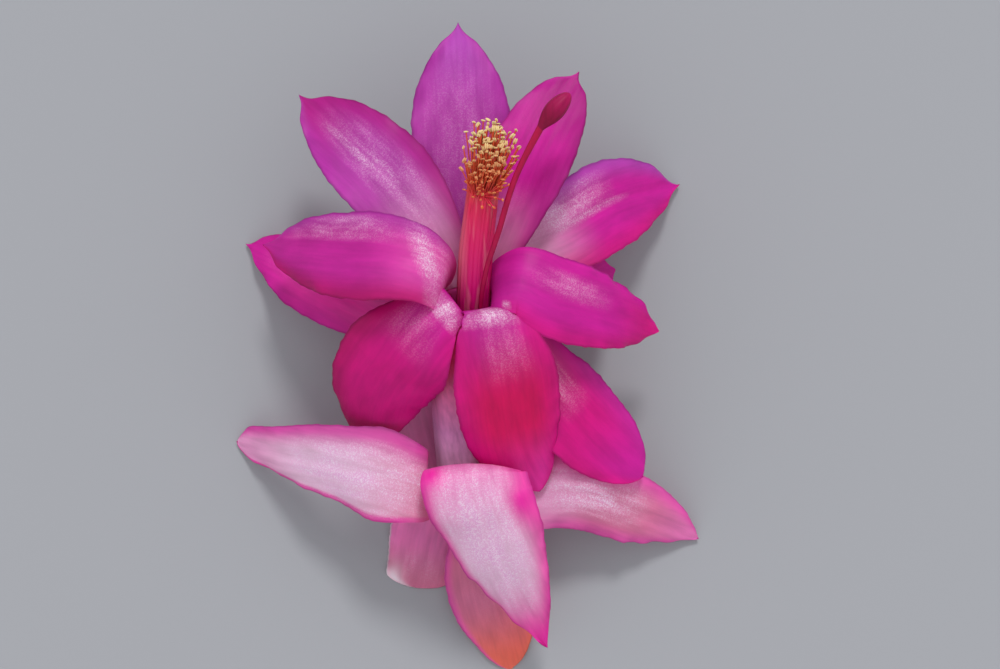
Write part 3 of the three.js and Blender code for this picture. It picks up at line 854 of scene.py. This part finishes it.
def fleshy_skin(name, colours, roughness):
    """Smooth plant skin with faint lengthwise streaks and a soft gloss. Its colours change along the
    piece: each has the share of the length where it lies."""
    material, tree = new_material(name)
    along = add(tree, "ShaderNodeAttribute", attribute_name="along").outputs["Fac"]
    place = add(tree, "ShaderNodeTexCoord").outputs["Object"]
    streaks = drawn_out_noise(tree, place, SKIN_STREAKS, detail=3, millimetre=MM)
    ramp = add(tree, "ShaderNodeValToRGB", {"Fac": along})
    ramp.color_ramp.elements.remove(ramp.color_ramp.elements[1])
    for share, code in colours[1:]:
        ramp.color_ramp.elements.new(share).color = rgba(code)
    ramp.color_ramp.elements[0].color = rgba(colours[0][1])
    tone = add(tree, MAP_RANGE, {
        "Value": streaks, "From Min": 0.3, "From Max": 0.7, "To Min": 0.85, "To Max": 1.15,
    })
    toned = add(tree, "ShaderNodeHueSaturation", {"Color": ramp, "Value": tone})
    raised = add(tree, "ShaderNodeBump", {"Strength": 0.3, "Distance": SKIN_RELIEF * MM, "Height": streaks})
    return finish_tissue(material, toned, THROUGH_SKIN, {
        "Roughness": roughness, "IOR": 1.42, "Specular IOR Level": 0.3, "Normal": raised,
    })


# Places up the tube, as shares of its length
TUBE_FLOOR = 0.07
MOUTH_FLARES = (0.8, 1)
LIP = 0.985  # where its rim starts to round over
LIP_TOP = 0.995

LIP_ROUND = 0.1  # how much narrower the rim is at its top, in millimetres
FOOT_FLAT = 1.5  # radius of the flat middle of its foot
FLOOR_FLAT = 1  # and of its floor
TUBE_RIBS = ribbed(8, 0.025, turn=0.4)


def floral_tube(material):
    """The tube: an open cup with a floor, its wall ribbed where the tepals' bases run down it."""
    outside = [(tube_radius(s), s) for s in np.linspace(0, LIP, 60)]
    rim = [
        (RIM_OUTER - LIP_ROUND, LIP_TOP),
        (mix(RIM_INNER, RIM_OUTER, 0.5), 1.0),
        (RIM_INNER + LIP_ROUND, LIP_TOP),
    ]
    inside = []
    for s in np.linspace(LIP, TUBE_FLOOR, 40):
        flare = smoothstep(s, *MOUTH_FLARES)
        inside.append((mix(tube_radius(s) - TUBE_WALL, RIM_INNER, flare), s))
    profile = [(FOOT_FLAT, 0), *outside, *rim, *inside, (FLOOR_FLAT, TUBE_FLOOR)]
    return round_piece("floral_tube_skin", TUBE, profile, 96, material, TUBE_RIBS)


# The ovary's radii in millimetres, each after the share of its length where it lies
OVARY_SHAPE = [(0, 3.1), (0.2, 3.35), (0.45, 3.3), (0.7, 2.9), (0.9, 2.2), (1, 1.5)]
OVARY_SCAR = [(0.985, 1.3), (0.97, 0.6)]
OVARY_LEAD = 3  # how far it follows the tube's line before it bends to its end, in millimetres
OVARY_ANGLES = ribbed(5, 0.03)


def ovary(material):
    """The ovary behind the tube, faintly angled, with the hollow scar where it was picked."""
    foot, tangent = (values[0] for values in TUBE.at([0]))
    start = foot - tangent * GAP
    line = Line(bezier, [start, start - tangent * OVARY_LEAD, OVARY_END])
    shares = np.linspace(0, 1, 50)
    radii = np.interp(shares, *zip(*OVARY_SHAPE))
    profile = [*zip(radii, shares), *((radius, share) for share, radius in OVARY_SCAR)]
    return round_piece("ovary_skin", line, profile, 72, material, OVARY_ANGLES)


def style(material):
    """The style: a thread that thickens a little along its middle and again under the stigma."""
    shares = np.linspace(0, 1, 120)
    radii = STYLE_RADIUS * (1 + 0.3 * smoothstep(shares, 0.3, 0.8) + 0.35 * smoothstep(shares, 0.85, 1))
    return round_piece("style", STYLE, [*zip(radii, shares)], 20, material)


STIGMA_START = 0.96  # as a share of the style's line
STIGMA_LEAD = 1.3  # how far it follows the style's line, in millimetres

# The stigma's shape: radii as shares of its widest, and places as shares of its length
PEAR_NECK = 0.36
PEAR_END = 0.1
PEAR_SWELLS = (0.05, 0.68)
PEAR_WIDEST = 0.66
LOBES = 7
LOBE_HEIGHT = 0.06
LOBES_START = (0.15, 0.5)


def stigma(material):
    """The stigma: seven lobes folded together into a pear."""
    neck, tangent = (values[0] for values in STYLE.at([STIGMA_START]))
    line = Line(bezier, [neck, neck + STIGMA_LEAD * tangent, STIGMA_TIP])
    shares = np.linspace(0, 1, 48)
    pear = PEAR_NECK + (1 - PEAR_NECK) * smoothstep(shares, *PEAR_SWELLS)
    dome = np.sqrt(1 - np.maximum(0, (shares - PEAR_WIDEST) / (1 - PEAR_WIDEST)) ** 2)
    radii = STIGMA_RADIUS * np.maximum(PEAR_END, pear * dome)

    def lobed(angle, share):
        swell = np.abs(np.cos(LOBES / 2 * angle)) * smoothstep(share, *LOBES_START)
        return 1 + LOBE_HEIGHT * swell - LOBE_HEIGHT / 2

    return round_piece("stigma", line, [*zip(radii, shares)], 84, material, lobed)


# The named inputs of the stamens' tree
STAMEN_SIZES = {
    "Filaments": 200,
    "Knots": 14,
    "Bundle radius": COLUMN_RADIUS * MM,
    "Filament radius": 0.5 * MM,
    "Back reach": 8 * MM,
    "Front reach": -0.5 * MM,
    "Head spread": 1.5 * MM,
    "Anther length": 0.7 * MM,
    "Anther radius": 0.115 * MM,
}
GOLDEN_ANGLE = 2.399963

# Shares of a filament's length
PARTING = 0.6  # from where on it parts from the others
BEYOND = 0.7  # where it has come to the path's end
THINNING = (0.58, 0.75)

ROOTED = 0.12  # where on the path the filaments start, as a share of the path
PACKED = 0.78  # the circle that their middles keep to, as a share of the bundle's radius
FREE_RADIUS = 0.16  # a free filament's radius, as a share of its radius in the column
PARTING_CURVE = 1.6  # the power by which they part, slowly at first
REACH_CURVE = 0.75  # and by which their reach grows from the front to the back

# How the filaments differ, from the least to the most
LOOSENESS = (0.5, 1.1)  # shares of the head's spread
SWAY = (-0.2, 1)  # millimetres to one side
UNEVEN_REACH = (-1.1, 0.5)  # millimetres


def stamen_tree(filament_material, anther_material):
    """Filaments that follow the column's path side by side and part beyond its end, each with a
    two-lobed anther. The input geometry is the path, as a curve."""
    tree = bpy.data.node_groups.new("stamens", "GeometryNodeTree")
    tree.interface.new_socket("Geometry", in_out="INPUT", socket_type="NodeSocketGeometry")
    for name, value in STAMEN_SIZES.items():
        kind = "NodeSocketInt" if isinstance(value, int) else "NodeSocketFloat"
        tree.interface.new_socket(name, in_out="INPUT", socket_type=kind)
    tree.interface.new_socket("Geometry", in_out="OUTPUT", socket_type="NodeSocketGeometry")
    size = add(tree, "NodeGroupInput").outputs
    lines, along = filament_lines(tree, size)
    rods = filament_rods(tree, size, lines, along, filament_material)
    heads = anthers(tree, size, lines, anther_material)
    whole = add(tree, "GeometryNodeJoinGeometry")
    for part in (rods, heads):
        tree.links.new(part.outputs[0], whole.inputs[0])
    add(tree, "NodeGroupOutput", {"Geometry": whole})
    return tree


def filament_lines(tree, size):
    """A curve for each filament, and the share of its length at each of its points."""
    index = add(tree, "GeometryNodeInputIndex")
    total = add(tree, MATH, {0: size["Filaments"], 1: size["Knots"]}, operation="MULTIPLY")
    knots = add(tree, "GeometryNodePoints", {"Count": total})
    ordinal = add(tree, MATH, {0: index, 1: size["Knots"]}, operation="DIVIDE")
    filament = add(tree, MATH, {0: ordinal}, operation="FLOOR")
    knot = add(tree, MATH, {0: index, 1: size["Knots"]}, operation="MODULO")
    last = add(tree, MATH, {0: size["Knots"], 1: 1}, operation="SUBTRACT")
    along = add(tree, MATH, {0: knot, 1: last}, operation="DIVIDE")

    # A sunflower pattern spreads the filaments evenly over the bundle's section
    turn = add(tree, MATH, {0: filament, 1: GOLDEN_ANGLE}, operation="MULTIPLY")
    middle = add(tree, MATH, {0: filament, 1: 0.5}, operation="ADD")
    rank = add(tree, MATH, {0: middle, 1: size["Filaments"]}, operation="DIVIDE")
    spread = add(tree, MATH, {0: rank}, operation="SQRT")
    cosine = add(tree, MATH, {0: turn}, operation="COSINE")
    sine = add(tree, MATH, {0: turn}, operation="SINE")
    ahead = add(tree, MATH, {0: cosine, 1: spread}, operation="MULTIPLY")
    aside = add(tree, MATH, {0: sine, 1: spread}, operation="MULTIPLY")

    # They part over the last of their length, and sway a little to one side
    past = add(tree, MAP_RANGE, {"Value": along, "From Min": PARTING, "From Max": 1})
    opened = add(tree, MATH, {0: past, 1: PARTING_CURVE}, operation="POWER")
    least, most = LOOSENESS
    loose = add(tree, RANDOM, {2: least, 3: most, "ID": filament, "Seed": 5}, data_type="FLOAT")
    least, most = SWAY
    leaning = add(tree, RANDOM, {2: least * MM, 3: most * MM, "ID": filament, "Seed": 9}, data_type="FLOAT")
    flare = add(tree, MATH, {0: size["Head spread"], 1: loose.outputs[1]}, operation="MULTIPLY")
    closed = add(tree, MATH, {0: size["Bundle radius"], 1: PACKED}, operation="MULTIPLY")
    grown = add(tree, MATH, {0: opened, 1: flare, 2: closed}, operation="MULTIPLY_ADD")
    sway = add(tree, MATH, {0: opened, 1: leaning.outputs[1]}, operation="MULTIPLY")
    up_shift = add(tree, MATH, {0: ahead, 1: grown}, operation="MULTIPLY")
    side_shift = add(tree, MATH, {0: aside, 1: grown, 2: sway}, operation="MULTIPLY_ADD")

    # The ones at the back reach furthest past the path's end, and the ones in front stop short of it
    back = add(tree, MAP_RANGE, {"Value": ahead, "From Min": 1, "From Max": -1})
    share = add(tree, MATH, {0: back, 1: REACH_CURVE}, operation="POWER")
    reach = add(tree, MAP_RANGE, {
        "Value": share, "To Min": size["Front reach"], "To Max": size["Back reach"],
    })
    least, most = UNEVEN_REACH
    uneven = add(tree, RANDOM, {2: least * MM, 3: most * MM, "ID": filament, "Seed": 3}, data_type="FLOAT")
    reach = add(tree, MATH, {0: reach, 1: uneven.outputs[1]}, operation="ADD")
    beyond = add(tree, MAP_RANGE, {"Value": along, "From Min": BEYOND, "From Max": 1})
    ahead_shift = add(tree, MATH, {0: beyond, 1: reach}, operation="MULTIPLY")

    factor = add(tree, MAP_RANGE, {
        "Value": along, "From Min": 0, "From Max": BEYOND, "To Min": ROOTED, "To Max": 1,
    })
    path = add(tree, "GeometryNodeSampleCurve", {"Curves": size["Geometry"], "Factor": factor}, mode="FACTOR")
    heading = path.outputs["Tangent"]
    level = add(tree, VECTOR_MATH, {0: heading, 1: UP}, operation="CROSS_PRODUCT")
    right = add(tree, VECTOR_MATH, {0: level}, operation="NORMALIZE")
    up = add(tree, VECTOR_MATH, {0: right, 1: heading}, operation="CROSS_PRODUCT")
    place = path.outputs["Position"]
    for way, shift in ((heading, ahead_shift), (up, up_shift), (right, side_shift)):
        step = add(tree, VECTOR_MATH, {0: way, "Scale": shift}, operation="SCALE")
        place = add(tree, VECTOR_MATH, {0: place, 1: step}, operation="ADD")
    placed = add(tree, "GeometryNodeSetPosition", {"Geometry": knots, "Position": place})
    lines = add(tree, "GeometryNodePointsToCurves", {
        "Points": placed, "Curve Group ID": filament, "Weight": along,
    })
    return lines, along


def filament_rods(tree, size, lines, along, material):
    """The threads: thick and pressed together in the column, and thin where they are free."""
    start, end = THINNING
    thinned = add(tree, MAP_RANGE, {
        "Value": along, "From Min": start, "From Max": end, "To Min": 1, "To Max": FREE_RADIUS,
    })
    section = add(tree, "GeometryNodeCurvePrimitiveCircle", {
        "Resolution": 8, "Radius": size["Filament radius"],
    }, mode="RADIUS")
    rods = add(tree, "GeometryNodeCurveToMesh", {
        "Curve": lines, "Profile Curve": section, "Scale": thinned, "Fill Caps": True,
    })
    smooth = add(tree, "GeometryNodeSetShadeSmooth", {"Geometry": rods})
    return add(tree, "GeometryNodeSetMaterial", {"Geometry": smooth, "Material": material})


# Places along +Y, in millimetres
COLUMN_SHOWS = 6  # where the column comes out of the mouth
COLUMN_LIT = 11  # and has the painted light on its left side at full strength
COLUMN_PARTS = 17
FIRST_ANTHERS = 20
GROWN_ANTHERS = 24  # from where on they have their full size
LAST_ANTHERS = 25

ANTHER_LOBE_STEP = 0.8  # from an anther's middle to each of its lobes, as a share of the lobe's radius


def anthers(tree, size, lines, material):
    """Two swollen lobes side by side on the end of every thread, tilted every way. The ones in front are
    the smallest."""
    joined = add(tree, "GeometryNodeJoinGeometry")
    for side in (-1, 1):
        lobe = add(tree, "GeometryNodeMeshIcoSphere", {"Radius": size["Anther radius"], "Subdivisions": 2})
        step = ANTHER_LOBE_STEP * side
        aside = add(tree, MATH, {0: size["Anther radius"], 1: step}, operation="MULTIPLY")
        shift = add(tree, "ShaderNodeCombineXYZ", {0: aside})
        moved = add(tree, "GeometryNodeTransform", {"Geometry": lobe, "Translation": shift})
        tree.links.new(moved.outputs[0], joined.inputs[0])
    width = add(tree, MATH, {0: size["Anther radius"], 1: 2}, operation="MULTIPLY")
    long = add(tree, MATH, {0: size["Anther length"], 1: width}, operation="DIVIDE")
    stretch = add(tree, "ShaderNodeCombineXYZ", {0: 1, 1: 1, 2: long})
    anther = add(tree, "GeometryNodeTransform", {"Geometry": joined, "Scale": stretch})
    ends = add(tree, "GeometryNodeCurveEndpointSelection", {"Start Size": 0, "End Size": 1})
    heading = add(tree, "GeometryNodeInputTangent")
    leans = {0: (-1.1, -1.1, -0.4), 1: (1.1, 1.1, 1.3), "Seed": 11}
    tilt = add(tree, RANDOM, leans, data_type="FLOAT_VECTOR")
    tilted = add(tree, VECTOR_MATH, {0: heading, 1: tilt}, operation="ADD")
    facing = add(tree, "FunctionNodeAlignRotationToVector", {"Vector": tilted}, axis="Z")
    grown = add(tree, RANDOM, {2: 0.65, 3: 1.25, "Seed": 17}, data_type="FLOAT")
    place = add(tree, "ShaderNodeSeparateXYZ", {0: add(tree, "GeometryNodeInputPosition")})
    ripened = add(tree, MAP_RANGE, {
        "Value": place.outputs[1], "From Min": COLUMN_PARTS * MM, "From Max": GROWN_ANTHERS * MM,
        "To Min": 0.6, "To Max": 1.05,
    })
    scale = add(tree, MATH, {0: grown.outputs[1], 1: ripened}, operation="MULTIPLY")
    heads = add(tree, "GeometryNodeInstanceOnPoints", {
        "Points": lines, "Selection": ends, "Instance": anther, "Rotation": facing, "Scale": scale,
    })
    real = add(tree, "GeometryNodeRealizeInstances", {"Geometry": heads})
    smooth = add(tree, "GeometryNodeSetShadeSmooth", {"Geometry": real})
    return add(tree, "GeometryNodeSetMaterial", {"Geometry": smooth, "Material": material})


def stamens(filament_material, anther_material):
    """Grows the stamens along the column's path and keeps them as a plain mesh."""
    knots = COLUMN.points[::10]
    line = bpy.data.curves.new("column_path", "CURVE")
    line.dimensions = "3D"
    spline = line.splines.new("POLY")
    spline.points.add(len(knots) - 1)
    for point, knot in zip(spline.points, knots):
        point.co = (*(knot * MM), 1)
    grower = in_scene("column_path", line)
    tree = stamen_tree(filament_material, anther_material)
    growth = grower.modifiers.new("stamens", "NODES")
    growth.node_group = tree
    for item in tree.interface.items_tree:
        if item.in_out == "INPUT" and item.name in STAMEN_SIZES:
            growth[item.identifier] = STAMEN_SIZES[item.name]
    grown = grower.evaluated_get(bpy.context.evaluated_depsgraph_get())
    mesh = bpy.data.meshes.new_from_object(grown)
    mesh.name = "stamen_bundle"
    bpy.data.objects.remove(grower)
    return in_scene("stamen_bundle", mesh)


THREADS = (0.6, 16, 2.5)  # the fine lines of the threads pressed together in the column, with painted highlights along some, in millimetres
LIT_SIDE = (0.5, -0.8)  # the places along +X, in millimetres, between which painted light makes its left side pale
THROUGH_THREADS = 0.3


def filament_flesh():
    """A stamen's thread: clear juicy tissue, crimson in the column and orange where the threads are free,
    with painted light making its left side salmon and painted highlights down some threads."""
    material, tree = new_material("filament_flesh")
    place = add(tree, "ShaderNodeTexCoord").outputs["Object"]
    part = add(tree, "ShaderNodeSeparateXYZ", {0: place})
    threads = drawn_out_noise(tree, place, THREADS, detail=1, millimetre=MM)
    stretches = ((COLUMN_SHOWS, COLUMN_PARTS), (COLUMN_PARTS, FIRST_ANTHERS), (COLUMN_SHOWS, COLUMN_LIT))
    depth, free, painted_light_ramp = (
        add(tree, MAP_RANGE, {"Value": part.outputs[1], "From Min": start * MM, "From Max": end * MM})
        for start, end in stretches
    )
    # Painted light: the left side turns salmon, fading in as the column comes out of the mouth's shade
    start, end = LIT_SIDE
    left = add(tree, MAP_RANGE, {
        "Value": part.outputs[0], "From Min": start * MM, "From Max": end * MM, "To Min": 0, "To Max": 0.6,
    })
    left = add(tree, MATH, {0: left, 1: painted_light_ramp}, operation="MULTIPLY")
    deep, high = rgba("e01484"), rgba("e82c5c")
    flesh = add(tree, COLOUR_MIX, {0: depth, 6: deep, 7: high}, data_type="RGBA").outputs[2]
    # Painted highlights: pale lines down some threads
    lit = add(tree, MAP_RANGE, {
        "Value": threads, "From Min": 0.54, "From Max": 0.68, "To Min": 0, "To Max": 0.3,
    })
    pale = add(tree, MATH, {0: lit, 1: left}, operation="MAXIMUM")
    salmon = rgba("f49ca4")
    juicy = add(tree, COLOUR_MIX, {0: pale, 6: flesh, 7: salmon}, data_type="RGBA").outputs[2]
    orange = rgba("e4603c")
    colour = add(tree, COLOUR_MIX, {0: free, 6: juicy, 7: orange}, data_type="RGBA").outputs[2]
    gloss = {"Roughness": 0.35, "IOR": 1.4, "Specular IOR Level": 0.35}
    return finish_tissue(material, colour, THROUGH_THREADS, gloss)


# Clumps of pollen, in millimetres: the grains themselves are too fine to show
POLLEN_CLUMP = 0.25
POLLEN_RELIEF = 0.08


def anther_pollen():
    """A ripe anther split open: dry, matt and grainy, pale cream-yellow at the back and ochre in front."""
    material, tree = new_material("anther_pollen")
    place = add(tree, "ShaderNodeTexCoord").outputs["Object"]
    part = add(tree, "ShaderNodeSeparateXYZ", {0: place})
    clumps = add(tree, "ShaderNodeTexNoise", {
        "Vector": place, "Scale": per_mm(POLLEN_CLUMP) / MM, "Detail": 2,
    })
    back = add(tree, MAP_RANGE, {
        "Value": part.outputs[1], "From Min": FIRST_ANTHERS * MM, "From Max": LAST_ANTHERS * MM,
    })
    ochre, cream = rgba("ca5a30"), rgba("dfc88c")
    ripe = add(tree, COLOUR_MIX, {0: back, 6: ochre, 7: cream}, data_type="RGBA").outputs[2]
    specks = add(tree, MAP_RANGE, {
        "Value": clumps.outputs["Fac"], "From Min": 0.42, "From Max": 0.68, "To Min": 0, "To Max": 0.5,
    })
    dust = rgba("e6bc84")
    colour = add(tree, COLOUR_MIX, {0: specks, 6: ripe, 7: dust}, data_type="RGBA").outputs[2]
    raised = add(tree, "ShaderNodeBump", {
        "Strength": 0.8, "Distance": POLLEN_RELIEF * MM, "Height": clumps.outputs["Fac"],
    })
    surface = add(tree, "ShaderNodeBsdfPrincipled", {
        "Base Color": colour, "Roughness": 0.85, "Specular IOR Level": 0.3, "Normal": raised,
    })
    add(tree, "ShaderNodeOutputMaterial", {"Surface": surface})
    return material


FLOOR_REACH = 400  # from the middle to each side, in millimetres
FLOOR_HEIGHT = -0.03  # just clear of the tepals that lie on it


def pale_floor():
    """A plain matt floor, evenly pale."""
    material, tree = new_material("pale_matt_floor")
    surface = add(tree, "ShaderNodeBsdfPrincipled", {"Base Color": rgba("97989c"), "Roughness": 0.9})
    add(tree, "ShaderNodeOutputMaterial", {"Surface": surface.outputs[0]})
    ways = ((-1, -1), (1, -1), (1, 1), (-1, 1))
    corners = np.array([(x * FLOOR_REACH, y * FLOOR_REACH, FLOOR_HEIGHT) for x, y in ways], float)
    floor = mesh_object("floor", corners, [(0, 1, 2, 3)], material)


def camera():
    data = bpy.data.cameras.new("camera")
    data.sensor_width = SENSOR
    data.sensor_fit = "HORIZONTAL"
    data.lens = FOCAL_PIXELS * SENSOR / PHOTO_WIDTH
    data.clip_start = 0.01
    eye = in_scene("camera", data)
    eye.location = [x * MM for x in CAMERA_PLACE]
    bpy.context.scene.camera = eye


def lights():
    """Soft light from the image's top, as in the photograph, over an even pale surround."""
    sun = bpy.data.lights.new("key", "SUN")
    sun.energy = 1.6
    sun.angle = math.radians(12)
    key = in_scene("key", sun)
    key.rotation_euler = (math.radians(-42), math.radians(7), 0)
    world = bpy.data.worlds.new("surround")
    world.use_nodes = True
    background = world.node_tree.nodes["Background"]
    background.inputs["Color"].default_value = rgba("f2f4f8")
    background.inputs["Strength"].default_value = 0.95
    bpy.context.scene.world = world
    bpy.context.scene.view_settings.view_transform = "Standard"


def attach(piece, slot, *nodes):
    """Rides a piece on the bloom's one body, for the nodes that it stands for."""
    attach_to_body(piece, "root")
    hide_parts(*nodes)


camera()
lights()
pale_floor()

UPPER = tepal_epidermis("tepal_epidermis_magenta", 0.42)
LOWER = tepal_epidermis("tepal_epidermis_pale", 0.4)
for tepal in TEPALS:
    if tepal.ring == "foot":
        attach(make_tepal(tepal, LOWER), "lower_tepal", tepal.name)
    else:
        attach(make_tepal(tepal, UPPER), "upper_tepal", tepal.name)

# The tube's own colours run from a pale foot to a magenta rim; the rim and throat are painted lighter than
# its own magenta, as painted light where shade falls inside the mouth
TUBE_SKIN = fleshy_skin("tube_skin", [(0, "ecc8e0"), (0.45, "c478ac"), (0.8, "e0407e"), (1, "f850b8")], 0.4)
OVARY_SKIN = fleshy_skin("ovary_skin", [(0, "9aa84e"), (0.5, "8fa04a"), (1, "7a7440")], 0.45)
STYLE_FLESH = fleshy_skin("style_flesh", [(0, "98004a"), (0.5, "a80444"), (1, "ac083e")], 0.4)
STIGMA_FLESH = fleshy_skin("stigma_flesh", [(0, "880038"), (0.5, "8c003a"), (1, "a80454")], 0.5)
attach(floral_tube(TUBE_SKIN), "floral_tube", "floral_tube")
attach(ovary(OVARY_SKIN), "ovary", "ovary")
attach(style(STYLE_FLESH), "pistil", "pistil")
attach(stigma(STIGMA_FLESH), "pistil", "pistil")
attach(stamens(filament_flesh(), anther_pollen()), "stamens", "stamens")
